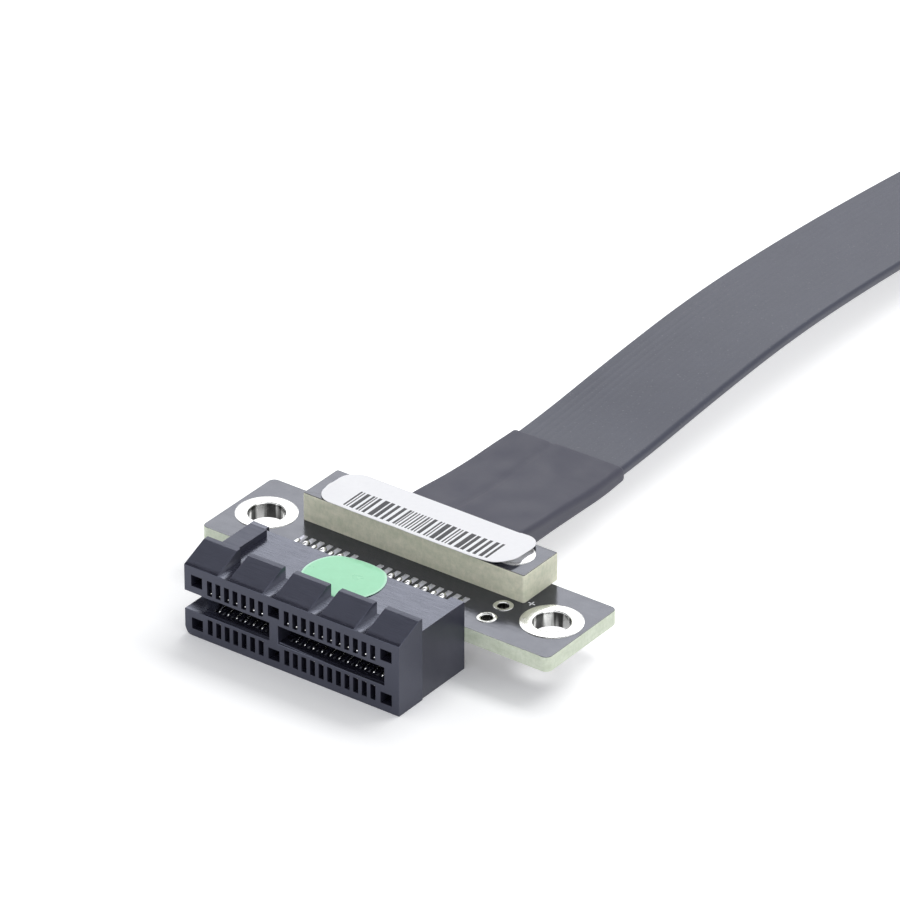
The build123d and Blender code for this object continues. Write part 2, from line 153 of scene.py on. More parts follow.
def outline(width, depth, corner, side=1, arc=4):
    """Closed outline of a rectangle with rounded corners: a quarter circle at each corner, and between two
    corners a straight side of evenly spaced points."""
    turn = np.linspace(0, np.pi / 2, arc + 1)
    quarter = np.stack([np.cos(turn), np.sin(turn)], -1) * corner
    reach = np.array([width / 2 - corner, depth / 2 - corner])
    runs = []
    for quadrant in range(4):
        spin = np.array([[0, 1], [-1, 0]]) if quadrant % 2 else np.eye(2)
        half_turn = -1 if quadrant > 1 else 1
        centre = reach * (1, 1) if quadrant in (0, 2) else reach * (-1, 1)
        runs.append(half_turn * (quarter @ spin + centre))
    rounds = np.array(runs)
    ends, starts = rounds[:, -1:], np.roll(rounds, -1, 0)[:, :1]
    share = np.arange(1, side)[None, :, None] / side
    straight = ends + (starts - ends) * share
    return np.concatenate([rounds, straight], 1).reshape(-1, 2)


def tiles(places, width, depth, height, rounding, corner, arc=2, steps=3):
    """Low tiles with rounded top edges: the outline is pulled in by rounding times (1 - cos t) while it rises
    by height times sin t, and flat faces close it above and below. One tile is copied to every place."""
    t = np.linspace(0, np.pi / 2, steps)
    rings = []
    for pull, rise in zip(rounding * (1 - np.cos(t)), height * np.sin(t)):
        ring = outline(width - 2 * pull, depth - 2 * pull, max(corner - pull, 0.01), 1, arc)
        rings.append(np.c_[ring, np.full(len(ring), rise)])
    count = len(rings[0])
    faces = grid_faces(steps, count, round_cols=True)
    faces += [list(range(count)), list(range((steps - 1) * count, steps * count))[::-1]]
    tile = np.concatenate(rings)
    points = np.asarray(places, float)[:, None, :] + tile[None]
    return points, repeated(faces, len(tile), len(places))


def mounds(places, sizes, around=10, up=4, side=1):
    """Small rounded mounds, each half of an ellipsoid: half widths times cos t across and height times sin t
    up, or down where side is -1, as t goes from its foot to its top. A flat face closes it at its foot."""
    turn = np.linspace(0, 2 * np.pi, around, endpoint=False)
    t = np.linspace(0, np.pi / 2, up + 1)[:, None]
    ball = np.stack([np.cos(t) * np.cos(turn), np.cos(t) * np.sin(turn), side * np.sin(t) + 0 * turn], -1)
    points = np.asarray(places, float)[:, None, None] + ball[None] * np.asarray(sizes, float)[:, None, None]
    faces = grid_faces(up + 1, around, round_cols=True) + [list(range(around))]
    return points, repeated(faces, (up + 1) * around, len(points))


def turned(profile, centre, steps=56):
    """A closed half section of radius and height turned about an upright axis: x and y are the radius times
    the cosine and sine of the turn, and z is the height."""
    turn = np.linspace(0, 2 * np.pi, steps, endpoint=False)[:, None]
    radius, height = np.array(profile, float).T
    points = np.stack([radius * np.cos(turn), radius * np.sin(turn), height + 0 * turn], -1) + centre
    return points, grid_faces(steps, len(radius), round_rows=True, round_cols=True)


def spline_points(route, fineness):
    """Points of the smooth line whose control points are the route's, read from the curve itself."""
    curve = bpy.data.curves.new("route", "CURVE")
    curve.dimensions = "3D"
    curve.resolution_u = fineness
    line = curve.splines.new("NURBS")
    line.points.add(len(route) - 1)
    for point, place in zip(line.points, route):
        point.co = (*place, 1.0)
    line.order_u = 3
    line.use_endpoint_u = True
    holder = bpy.data.objects.new("route", curve)
    bpy.context.scene.collection.objects.link(holder)
    mesh = bpy.data.meshes.new_from_object(holder)
    points = read(mesh.vertices, "co", 3, float) / MM
    bpy.data.meshes.remove(mesh)
    bpy.data.objects.remove(holder)
    bpy.data.curves.remove(curve)
    return points


def frames_along(path):
    """At each point of a path: its direction, the level line across it, and the line square to both."""
    ahead = np.gradient(path, axis=0)
    ahead /= np.linalg.norm(ahead, axis=1, keepdims=True)
    across = np.cross(ahead, (0.0, 0.0, 1.0))
    across /= np.linalg.norm(across, axis=1, keepdims=True)
    return ahead, across, np.cross(across, ahead)


def run_length(path):
    """How far along the path each of its points is."""
    return np.r_[0, np.cumsum(np.linalg.norm(np.diff(path, axis=0), axis=1))]


# Finishes

def finish(name, roughness, metallic=0.0, level=0.5):
    """A new material, its node tree and its shader, with the uniform values on the shader itself."""
    material = bpy.data.materials.new(name)
    material.use_nodes = True
    shader = material.node_tree.nodes["Principled BSDF"]
    shader.inputs["Roughness"].default_value = roughness
    shader.inputs["Metallic"].default_value = metallic
    shader.inputs["Specular IOR Level"].default_value = level
    return material, material.node_tree, shader


def add(tree, kind, **values):
    """A new node, with values for its properties and, where none has that name, its inputs. A name such as _2
    is the number of an input, and a value that is another node's output is linked."""
    node = tree.nodes.new(kind)
    for key, value in values.items():
        if hasattr(node, key):
            setattr(node, key, value)
            continue
        socket = node.inputs[int(key[1:])] if key[0] == "_" else node.inputs[key.replace("_", " ")]
        if isinstance(value, bpy.types.NodeSocket):
            tree.links.new(value, socket)
        else:
            socket.default_value = value
    return node


def place(tree, stretch=(1, 1, 1)):
    """The point on the object, in millimetres, stretched along each axis."""
    where = tree.nodes.new("ShaderNodeTexCoord").outputs["Object"]
    return add(tree, "ShaderNodeMapping", Vector=where, Scale=[s / MM for s in stretch]).outputs[0]


def grain(tree, where, size, detail=3.0, soft=0.5):
    """Cloudy noise whose patches are about size millimetres across."""
    noise = add(tree, "ShaderNodeTexNoise", Vector=where, Scale=1 / size, Detail=detail, Roughness=soft)
    return noise.outputs[0]


def ranged(tree, value, low, high, first=0.0, last=1.0):
    """A value between low and high carried over to first and last."""
    return add(tree, "ShaderNodeMapRange", Value=value, From_Min=low, From_Max=high, To_Min=first,
               To_Max=last).outputs[0]


def maths(tree, operation, first, *others):
    """Arithmetic on values, carried on from left to right."""
    for other in others:
        first = add(tree, "ShaderNodeMath", operation=operation, _0=first, _1=other).outputs[0]
    return first


def mixed(tree, factor, first, second):
    """The first colour at factor 0 and the second at 1."""
    node = tree.nodes.new("ShaderNodeMix")
    node.data_type = "RGBA"
    tree.links.new(factor, node.inputs[0])
    for socket, paint in ((node.inputs[6], first), (node.inputs[7], second)):
        if isinstance(paint, bpy.types.NodeSocket):
            tree.links.new(paint, socket)
        else:
            socket.default_value = (*paint, 1)
    return node.outputs[2]


def colour(tree, shader, output):
    """Gives the shader its colour."""
    tree.links.new(output, shader.inputs["Base Color"])


def clouded(tree, noise, low, high):
    """Noise, which keeps mostly between 0.3 and 0.7, carried over to low and high."""
    return ranged(tree, noise, 0.3, 0.7, low, high)


def rough(tree, shader, noise, low, high):
    """Lets the roughness follow noise, from low to high."""
    tree.links.new(clouded(tree, noise, low, high), shader.inputs["Roughness"])


def relief(tree, shader, height, depth, strength=1.0):
    """Bumps the surface by a height pattern of that depth in millimetres."""
    bump = add(tree, "ShaderNodeBump", Height=height, Distance=depth * MM, Strength=strength)
    tree.links.new(bump.outputs[0], shader.inputs["Normal"])


def facing_up(tree, low, high):
    """0 on upright faces and 1 on level ones, upper and lower alike."""
    normal = tree.nodes.new("ShaderNodeNewGeometry").outputs["True Normal"]
    upright = add(tree, "ShaderNodeSeparateXYZ", Vector=normal).outputs[2]
    return ranged(tree, maths(tree, "ABSOLUTE", upright, 0.0), low, high)


def moulded_plastic():
    """Satin black moulded plastic with a fine grain. Upright walls have an even gloss. Level faces are
    shinier, with faint drag lines from the mould, and what stands above the roof is duller again."""
    material, tree, shader = finish("moulded_plastic", 0.42, level=1.0)
    shader.inputs["Specular Tint"].default_value = (0.74, 0.79, 1.0, 1)
    where = place(tree)
    cloud = grain(tree, where, 2.6)
    fine = grain(tree, where, 0.16, 2.0)
    drag = grain(tree, place(tree, (0.25, 3.0, 0.6)), 0.5, 2.0)
    colour(tree, shader, mixed(tree, cloud, (0.012, 0.012, 0.020), (0.019, 0.019, 0.031)))
    height = add(tree, "ShaderNodeSeparateXYZ", Vector=where).outputs[2]
    dull = ranged(tree, height, roof + 0.30, roof + 0.42, 0.0, 0.22)
    level = facing_up(tree, 0.3, 0.6)
    shine = maths(tree, "ADD", clouded(tree, drag, 0.20, 0.30), dull)
    gloss = add(tree, "ShaderNodeMix", _0=level, _2=0.42, _3=shine).outputs[0]
    tree.links.new(gloss, shader.inputs["Roughness"])
    lines = maths(tree, "MULTIPLY", drag, 2.0, level)
    relief(tree, shader, maths(tree, "ADD", fine, lines), 0.012, 0.5)
    return material


def board_finish(name, laminate_pale, laminate_deep, streak):
    """Glossy black mask on the level faces, with faint tracks under it, and bare laminate with its layers and
    milling marks on the edges."""
    material, tree, shader = finish(name, 0.2, level=0.78)
    shader.inputs["Specular Tint"].default_value = (0.84, 0.87, 1.0, 1)
    where = place(tree)
    level = facing_up(tree, 0.86, 0.93)
    cloud = grain(tree, where, 1.7)
    mask = mixed(tree, cloud, (0.010, 0.010, 0.016), (0.018, 0.019, 0.028))
    layers = grain(tree, place(tree, (0.35, 0.35, streak)), 0.8, 4.0, 0.6)
    marks = grain(tree, place(tree, (1.4, 1.4, 0.9)), 0.5, 4.0, 0.65)
    both = maths(tree, "MULTIPLY", maths(tree, "ADD", layers, marks), 0.5)
    laminate = mixed(tree, ranged(tree, both, 0.36, 0.64), laminate_deep, laminate_pale)
    colour(tree, shader, mixed(tree, level, laminate, mask))
    smooth = clouded(tree, cloud, 0.13, 0.21)
    edge = clouded(tree, marks, 0.50, 0.72)
    gloss = add(tree, "ShaderNodeMix", _0=level, _2=edge, _3=smooth)
    tree.links.new(gloss.outputs[0], shader.inputs["Roughness"])
    tracks = grain(tree, place(tree, (0.16, 1.5, 1.0)), 0.9, 1.0)
    ledge = ranged(tree, tracks, 0.50, 0.54)
    height = maths(tree, "ADD", maths(tree, "MULTIPLY", ledge, 0.25), maths(tree, "MULTIPLY", marks, 0.6))
    relief(tree, shader, height, 0.012, 0.5)
    return material


def plated(name, base, deep, low, high, size=0.8, dents=0.015):
    """Plated or tinned metal: cloudy shine and small flow marks, and on upright walls painted reflections:
    the colour turns near black in dark streaks and keeps its shine in bright ones.
    Its clouds are about size millimetres across, and its colour is base, or deep where they are thin."""
    material, tree, shader = finish(name, low, metallic=1.0)
    where = place(tree)
    cloud = grain(tree, where, size)
    # Painted reflections: upright walls get dark and bright streaks in their colour, near black where dark
    runs = ranged(tree, grain(tree, place(tree, (1.0, 1.0, 0.12)), 0.9, 2.0), 0.44, 0.57)
    upright = facing_up(tree, 0.75, 0.45)
    dark = maths(tree, "MULTIPLY", upright, maths(tree, "SUBTRACT", 1.0, runs))
    bright = maths(tree, "SUBTRACT", 1.0, dark)
    shine = mixed(tree, cloud, deep, base)
    colour(tree, shader, mixed(tree, bright, tuple(0.08 * part for part in base), shine))
    rough(tree, shader, grain(tree, where, size * 0.5), low, high)
    relief(tree, shader, grain(tree, where, size * 0.35, 2.0), dents, 0.6)
    return material


def label_paper():
    """White label film with generic dark bars across its middle. The label is divided into equal steps, each
    with a bar whose width is drawn by chance, and the narrowest bars have a thin line after them."""
    bar_step, narrowest, widest = 0.72, 0.24, 0.84
    left, right, front, back = -8.75, 8.35, 5.82, 8.78
    material, tree, shader = finish("label_paper", 0.42, level=0.4)
    where = add(tree, "ShaderNodeUVMap", uv_map="label").outputs[0]
    split = add(tree, "ShaderNodeSeparateXYZ", Vector=where)
    along, over = split.outputs[0], split.outputs[1]
    run = maths(tree, "MULTIPLY", along, 1 / bar_step)
    step = maths(tree, "FLOOR", run, 0.0)
    share = maths(tree, "SUBTRACT", run, step)
    chance = add(tree, "ShaderNodeTexWhiteNoise", noise_dimensions="1D", W=step).outputs[0]
    width = ranged(tree, maths(tree, "POWER", chance, 1.3), 0.0, 1.0, narrowest, widest)
    thick = maths(tree, "LESS_THAN", share, width)
    thin = maths(tree, "MULTIPLY", maths(tree, "GREATER_THAN", share, 0.50),
                 maths(tree, "LESS_THAN", share, 0.70), maths(tree, "LESS_THAN", chance, 0.30))
    dark = maths(tree, "MULTIPLY", maths(tree, "MAXIMUM", thick, thin),
                 maths(tree, "GREATER_THAN", along, left), maths(tree, "LESS_THAN", along, right),
                 maths(tree, "GREATER_THAN", over, front), maths(tree, "LESS_THAN", over, back))
    fibre = grain(tree, place(tree), 0.5, 4.0)
    paper = mixed(tree, fibre, (0.80, 0.80, 0.82), (0.86, 0.86, 0.88))
    ink = mixed(tree, fibre, (0.030, 0.030, 0.034), (0.060, 0.060, 0.066))
    colour(tree, shader, mixed(tree, dark, paper, ink))
    rough(tree, shader, fibre, 0.44, 0.58)
    relief(tree, shader, grain(tree, place(tree), 0.9, 2.0), 0.012, 0.35)
    return material


def sticker_film():
    """Pale green film, a little cloudy, with a paler rim."""
    material, tree, shader = finish("sticker_film", 0.3, level=0.45)
    where = place(tree)
    cloud = grain(tree, where, 1.4, 2.0)
    rim = tree.nodes.new("ShaderNodeAttribute")
    rim.attribute_name = "rim"
    body = mixed(tree, clouded(tree, cloud, 0.0, 1.0), (0.25, 0.62, 0.37), (0.31, 0.69, 0.44))
    colour(tree, shader, mixed(tree, ranged(tree, rim.outputs["Fac"], 0.93, 0.99), body, (0.46, 0.78, 0.58)))
    rough(tree, shader, cloud, 0.26, 0.38)
    relief(tree, shader, grain(tree, where, 0.7, 2.0), 0.02, 0.4)
    return material


def sleeve_film():
    """Shrunk dark film: smooth, with faint stretch lines along it and a fine grain."""
    material, tree, shader = finish("shrunk_film", 0.55, level=0.52)
    where = place(tree)
    stretch = grain(tree, place(tree, (1.6, 0.16, 0.5)), 0.7, 2.0)
    cloud = grain(tree, where, 3.0)
    colour(tree, shader, mixed(tree, cloud, (0.034, 0.034, 0.054), (0.045, 0.045, 0.068)))
    rough(tree, shader, cloud, 0.50, 0.60)
    height = maths(tree, "ADD", maths(tree, "MULTIPLY", stretch, 0.3), grain(tree, where, 0.12, 2.0))
    relief(tree, shader, height, 0.010, 0.6)
    return material


def ribbed_jacket():
    """Dark extruded jacket: fine lines that run with the cable, mostly at its left, a dusty grain and small
    pale specks."""
    material, tree, shader = finish("ribbed_jacket", 0.5, level=0.46)
    own = add(tree, "ShaderNodeUVMap", uv_map="run").outputs[0]
    lines = add(tree, "ShaderNodeMapping", Vector=own, Scale=(3.2, 0.012, 1.0)).outputs[0]
    line = grain(tree, lines, 1.0, 4.0, 0.65)
    where = place(tree)
    dust = grain(tree, where, 0.14, 3.0)
    cloud = grain(tree, where, 4.0)
    deep = mixed(tree, cloud, (0.034, 0.037, 0.058), (0.047, 0.051, 0.077))
    speck = ranged(tree, grain(tree, where, 0.22, 1.0), 0.71, 0.76)
    colour(tree, shader, mixed(tree, speck, deep, (0.10, 0.10, 0.12)))
    rough(tree, shader, dust, 0.36, 0.46)
    sideways = add(tree, "ShaderNodeSeparateXYZ", Vector=where).outputs[0]
    lined = ranged(tree, sideways, -0.5, -4.0, 0.10, 0.8)
    height = maths(tree, "ADD", maths(tree, "MULTIPLY", line, lined), maths(tree, "MULTIPLY", dust, 0.9))
    relief(tree, shader, height, 0.014, 0.6)
    return material


plastic = moulded_plastic()
mask = board_finish("board_mask", (0.84, 0.90, 0.74), (0.66, 0.73, 0.56), 1.4)
laminate = board_finish("bar_laminate", (0.92, 0.90, 0.72), (0.68, 0.71, 0.53), 0.9)
tin = plated("tinned_copper", (0.86, 0.86, 0.84), (0.70, 0.70, 0.69), 0.16, 0.30)
pad_tin = plated("pad_tin", (0.72, 0.72, 0.80), (0.50, 0.50, 0.57), 0.34, 0.52, 0.4)
solder = plated("bright_solder", (0.90, 0.90, 0.90), (0.74, 0.74, 0.75), 0.10, 0.22, 0.6, 0.02)
contact = plated("contact_metal", (0.93, 0.93, 0.91), (0.78, 0.78, 0.76), 0.16, 0.24, 0.6, 0.004)
gold = plated("gold_plate", (0.86, 0.62, 0.26), (0.74, 0.50, 0.19), 0.18, 0.30, 1.5)
paper = label_paper()
green = sticker_film()
film = sleeve_film()
jacket = ribbed_jacket()


# The cable: its route's points, listed in metres, between the middles of the two bars' rear faces

route = [
    (0.00086, 0.01099, 0.00600),
    (0.00056, 0.02200, 0.00494),
    (0.00030, 0.03300, 0.00484),
    (0.00021, 0.04600, 0.00592),
    (0.00006, 0.06000, 0.00657),
    (-0.00012, 0.07600, 0.00592),
    (-0.00016, 0.09400, 0.00454),
    (0.00003, 0.11400, 0.00258),
    (0.00052, 0.13500, 0.00113),
    (0.00117, 0.15600, 0.00066),
    (0.00192, 0.17500, 0.00092),
    (0.00245, 0.19200, 0.00187),
    (0.00260, 0.21060, 0.00313),
]
cable_width = 12.5
cable_thickness = 1.1
cable_ribs = 15
cable_line = spline_points(route, 18)


def flat_cable(name, line):
    """The section, a rounded strip, carried along the line. Its two broad faces sink between ribs: a depth
    times the cube of (1 - cos a) / 2, where a goes once round for each rib across. The ribs are deepest at
    the left and fade out near the rounded edges. The strip rocks by the sine of the way along."""
    section = outline(cable_width, cable_thickness, corner=0.45, side=100, arc=8)
    x, z = section.T
    broad = np.clip((cable_width / 2 - 0.5 - np.abs(x)) / 0.4, 0, 1)
    pitch = (cable_width - 1.0) / cable_ribs
    deep = 0.004 + 0.012 * np.clip((-x - 1.5) / 2.5, 0, 1)
    z = z - np.sign(z) * broad * (deep * (0.5 - 0.5 * np.cos(2 * np.pi * x / pitch)) ** 3 + 0.006)
    _, across, above = frames_along(line)
    sway = 0.04 * np.sin(run_length(line) / 23.0)[:, None]
    lift = z[None] + sway * (x[None] / cable_width)
    points = line[:, None] + across[:, None] * x[None, :, None] + above[:, None] * lift[..., None]
    count = len(x)
    faces = grid_faces(len(line), count, round_cols=True)
    faces += [list(range(count)), list(range((len(line) - 1) * count, len(line) * count))]
    piece = make(name, points, faces, jacket, sharp=60, stands_for=["cable_jacket"])
    girth = np.r_[0, np.cumsum(np.hypot(*np.diff(section, axis=0).T))]
    own = np.stack(np.broadcast_arrays(girth[None], run_length(line)[:, None]), -1).reshape(-1, 2)
    lay_uv(piece, "run", own)
    return piece


def lay_uv(piece, name, flat):
    """Gives a piece a UV map of its own, in millimetres, from one flat place for each of its points."""
    point = read(piece.data.loops, "vertex_index", kind=np.int32)
    layer = piece.data.uv_layers.new(name=name)
    layer.data.foreach_set("uv", np.asarray(flat, np.float32)[point].ravel())


cable = flat_cable("flat_cable", cable_line)


def shrink_sleeve(name, line, node, crease, seed):
    """A rounded section carried along the start of a line, taller at the bar and closer at its end. Its upper
    face sinks along a crease, a bell curve across times a slow wave along, and along a pleat that meets the
    crease at the end. The end turns in over a small radius to a wall inside, which runs back to the start."""
    far = run_length(line)
    _, across, above = frames_along(line)
    start, end, lip_radius, corner_radius = -0.4, 18.8, 0.2, 0.62
    end_height, bar_extra, mean_width, clearance = 1.78, 0.66, 13.18, 0.06
    rows = np.r_[start, np.linspace(0, end - lip_radius, 40)]
    lip = np.linspace(0, np.pi / 2, 6)[1:]
    outer = np.r_[rows, end - lip_radius + lip_radius * np.sin(lip)]
    shrink = np.r_[np.zeros(len(rows)), lip_radius * (1 - np.cos(lip))]
    inner = np.array([end, start])
    reach = np.r_[outer, inner]
    share = np.clip(reach / end, 0, 1)
    tall = end_height + bar_extra * (1 - share) ** 1.5 + 0.05 * np.sin(reach * 0.9 + seed) * share
    wide = mean_width + 0.10 * np.sin(reach * 0.55 + seed)
    tall, wide = tall - 2 * np.r_[shrink, 0, 0], wide - 2 * np.r_[shrink, 0, 0]
    tall[-2:], wide[-2:] = cable_thickness + clearance, cable_width + clearance
    # The corner keeps its own radius: the unit section's corners, a quarter of a side, are scaled to it
    section = outline(1, 1, corner=0.25, side=36, arc=7)
    sides = np.sign(section)
    corner = np.minimum(corner_radius, tall / 2 - 0.05)
    inset = np.clip(0.5 - np.abs(section), 0, 0.25) * 4
    core = np.clip(np.abs(section), 0, 0.25) * 4
    half = np.stack([wide, tall], -1) / 2
    flat = half[:, None] - corner[:, None, None]
    at = sides * (core * flat + (1 - inset) * corner[:, None, None])
    x, z = at[..., 0], at[..., 1]
    outside = (np.arange(len(reach)) < len(outer))[:, None]
    top = (np.abs(x) < wide[:, None] / 2 - 0.7) & (z > 0) & outside
    bend = crease + 0.25 * np.sin(reach / 4.0 + seed)[:, None]
    dip = 0.11 + 0.05 * np.sin(reach / 6.5 + 0.6 + seed)[:, None]
    fold = dip * np.exp(-((x - bend) / 0.40) ** 2) - 0.03 * np.exp(-((x - bend - 1.1) / 0.8) ** 2)
    slant = bend + 0.28 * (end - reach[:, None])
    near_end = np.clip(share[:, None] * 3 - 2, 0, 1)
    pleat = 0.07 * np.exp(-((x - slant) / 0.35) ** 2) * near_end
    z = z - top * (fold + pleat)
    centre, side, up = (
        np.stack([np.interp(reach, far, part[:, k]) for k in range(3)], -1) for part in (line, across, above)
    )
    centre[np.r_[0, -1]] += (line[0] - line[1]) / np.linalg.norm(line[1] - line[0]) * -start
    rise = 0.15 * (1 - share)
    points = centre[:, None] + side[:, None] * x[..., None] + up[:, None] * (z - rise[:, None])[..., None]
    faces = grid_faces(len(reach), x.shape[1], round_rows=True, round_cols=True)
    return make(name, points, faces, film, sharp=50, stands_for=[node])


socket_sleeve = shrink_sleeve("socket_shrink_sleeve", cable_line, "socket_sleeve", -1.6, 0.0)
plug_sleeve = shrink_sleeve("plug_shrink_sleeve", cable_line[::-1], "plug_sleeve", 2.1, 2.0)


# The housing, boards and bars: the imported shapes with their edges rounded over

def edge_facts(mesh):
    """For all edges at once: the angle between their two faces in degrees, whether they stand out, and their
    middles in millimetres. An edge stands out where the second face's middle is below the first's plane."""
    edge_of = read(mesh.loops, "edge_index", kind=np.int32)
    sizes = read(mesh.polygons, "loop_total", kind=np.int32)
    normals = read(mesh.polygons, "normal", 3)
    centres = read(mesh.polygons, "center", 3)
    face_of = np.repeat(np.arange(len(sizes)), sizes)
    order = np.argsort(edge_of, kind="stable")
    count = np.bincount(edge_of, minlength=len(mesh.edges))
    first = np.r_[0, np.cumsum(count)[:-1]]
    pair = count == 2
    one, other = face_of[order[first[pair]]], face_of[order[first[pair] + 1]]
    angle = np.full(len(mesh.edges), 180.0)
    angle[pair] = np.degrees(np.arccos(np.clip((normals[one] * normals[other]).sum(1), -1, 1)))
    outward = np.zeros(len(mesh.edges), bool)
    outward[pair] = ((centres[other] - centres[one]) * normals[one]).sum(1) < 0
    ends = read(mesh.edges, "vertices", 2, np.int32)
    middle = read(mesh.vertices, "co", 3)[ends].mean(1) / MM
    return angle, outward, middle


def longer_arm(mesh):
    """The arm on the roof reaches 0.7 mm further back than packed: the points of its rear wall move back. The
    arm is all that stands above the roof 6 mm or more behind the housing's front."""
    near, further = 0.02, 0.7
    places = read(mesh.vertices, "co", 3)
    x, y, z = places.T / MM
    arm = (z > roof + 0.3) & (y > housing_low[1] + 6.0)
    rear, left, right = y[arm].max(), x[arm].min(), x[arm].max()
    wall = (np.abs(y - rear) < near) & (z > roof - near) & (x > left - near) & (x < right + near)
    places[wall, 1] += further * MM
    mesh.vertices.foreach_set("co", places.ravel())


def rounded_copy(name, node, material, width, chosen, reshape=None):
    """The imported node's own shape, its doubles merged and its flat triangles joined, changed by reshape if
    given. A Bevel rounds the sharp outer edges whose middles are chosen, and the rest stay crisp."""
    meeting, flat_below, sharp_from = 2e-6, 0.6, 14
    mesh = nodes[node].data.copy()
    mesh.name = name
    build = bmesh.new()
    build.from_mesh(mesh)
    bmesh.ops.remove_doubles(build, verts=build.verts, dist=meeting)
    bmesh.ops.dissolve_limit(build, angle_limit=radians(flat_below), verts=build.verts, edges=build.edges)
    build.to_mesh(mesh)
    build.free()
    if reshape:
        reshape(mesh)
    for left in ("custom_normal", "sharp_face", "sharp_edge"):
        if left in mesh.attributes:
            mesh.attributes.remove(mesh.attributes[left])
    mesh.shade_smooth()
    angle, outward, middle = edge_facts(mesh)
    keen = angle > sharp_from
    soft = keen & outward & chosen(*middle.T)
    crisp = mesh.attributes.new("sharp_edge", "BOOLEAN", "EDGE")
    crisp.data.foreach_set("value", keen & ~soft)
    weight = mesh.attributes.new("bevel_weight_edge", "FLOAT", "EDGE")
    weight.data.foreach_set("value", soft.astype(np.float32))
    mesh.materials.clear()
    mesh.materials.append(material)
    piece = settle(bpy.data.objects.new(name, mesh), [node])
    bevel = piece.modifiers.new("soft_edges", "BEVEL")
    bevel.width = width * MM
    bevel.segments = 2
    bevel.limit_method = "WEIGHT"
    bevel.use_clamp_overlap = False
    even = piece.modifiers.new("flat_faces", "WEIGHTED_NORMAL")
    even.weight = 100
    even.keep_sharp = True
    return piece


def housing_edges(x, y, z):
    """The housing's outside: its ends, foot and everything from the roof up, and the card slot's mouth."""
    ends = (x < housing_low[0] + 0.2) | (x > housing_high[0] - 0.2)
    mouth = (np.abs(z - card_plane) < 1.1) & (y < housing_low[1] + 0.1)
    return ends | (z > roof - 0.05) | (z < 0.05) | mouth


def board_edges(x, y, z):
    """The board's rim, with its rounded corners."""
    return (np.abs(x) > board_high[0] - 1.1) | (y < board_low[1] + 0.1) | (y > board_high[1] - 0.1)


def plug_edges(x, y, z):
    """The plug board's rim, apart from the bevelled edge that goes into a socket."""
    ends = (x < plug_low[0] + 1.1) | (x > plug_high[0] - 1.1)
    return (y < plug_high[1] - 0.6) & ((y < plug_low[1] + 0.1) | ends | (y > plug_low[1] + 9.3))


def top_edges(node):
    """Chooses the edges round the upper face of a packed bar."""
    near = 0.3
    low, high = corners(node)

    def chosen(x, y, z):
        rim = (x < low[0] + near) | (x > high[0] - near) | (y < low[1] + near) | (y > high[1] - near)
        return (z > high[2] - 0.05) & rim

    return chosen


rounded_copy("housing_moulding", "socket_housing", plastic, 0.05, housing_edges,
             longer_arm)
rounded_copy("mounting_board", "main_board", mask, 0.09, board_edges)
rounded_copy("laminate_bar", "clamp_bar", laminate, 0.14, top_edges("clamp_bar"))
plug = rounded_copy("plug_laminate_board", "plug_board", mask, 0.07, plug_edges)
plug_bar = rounded_copy("plug_laminate_bar", "plug_clamp_bar", laminate, 0.14,
                        top_edges("plug_clamp_bar"))


# Plated holes, pads, feet and solder

def ring_profile(bore, ring, height, lower=True, upper=True, bulge=0.02):
    """Half section of a plated hole: a wall as tall as the board, whose rims roll out over the board's faces
    into rings that are higher by bulge in their middle. Where one is left out, the wall ends plain."""
    wall, rim, roll = bore / 2, ring / 2, 0.14
    t = np.linspace(0, np.pi / 2, 5)
    middle = np.linspace(wall + roll, rim - 0.05, 7)
    crown = copper + bulge * np.sin(np.linspace(0, np.pi, 7))
    top = np.c_[wall + roll * (1 - np.cos(t)), copper - roll * (1 - np.sin(t))]
    face = np.r_[top, np.c_[middle, crown][1:], [[rim, 0.3 * copper], [rim, -0.01], [wall + copper, -0.01]]]
    plain = np.array([[wall, -0.02], [wall + copper, -0.02]])
    above = face if upper else plain
    below = (face if lower else plain) * (1, -1)
    return np.r_[above + (0, height), below[::-1]]


def plated_holes(name, centres, profile, stands_for, material=tin):
    """The same turned profile at each centre, as one piece."""
    rings = [turned(profile, centre) for centre in centres]
    points = np.concatenate([ring.reshape(-1, 3) for ring, _ in rings])
    faces = repeated(rings[0][1], len(points) // len(rings), len(rings))
    return make(name, points, faces, material, stands_for=stands_for)


def ring_centres(node, axis, height):
    """Centres of a node's two rings, which stand apart along an axis, each given that height."""
    places = read(nodes[node].data.vertices, "co", 3) / MM
    half = places[:, axis] < (places[:, axis].min() + places[:, axis].max()) / 2
    both = [(places[side].min(0) + places[side].max(0)) / 2 for side in (half, ~half)]
    return [(centre[0], centre[1], height) for centre in both]


def flat_row(name, node, side, xs, width, height, rounding, corner, material):
    """A row of pads or fingers, one at each of xs, as long as their node and on the side of the board it is
    on: 1 for above and -1 for below."""
    low, high = corners(node)
    places = np.c_[xs, np.full(contact_count, (low[1] + high[1]) / 2), np.zeros(contact_count)]
    points, faces = tiles(places, width, high[1] - low[1], height, rounding, corner)
    points = points * (1, 1, side) + (0, 0, low[2] if side > 0 else high[2])
    return make(name, points, faces, material, stands_for=[node])


mount_bore = 3.6
header_bore, header_ring = 1.1, 1.95
for side in ("left", "right"):
    low, high = corners(f"{side}_mount_ring")
    plated_holes(f"{side}_mount_plating", [(*((low + high) / 2)[:2], board_under)],
                 ring_profile(mount_bore, high[0] - low[0], board_thickness), [f"{side}_mount_ring"])
plated_holes("header_plating", ring_centres("header_rings", 1, board_under),
             ring_profile(header_bore, header_ring, board_thickness), ["header_rings"])

post_bore, bar_ring, post_ring = 2.2, 3.9, 4.2
dome_radius, dome_height, stem_radius = 1.62, 0.15, 1.09
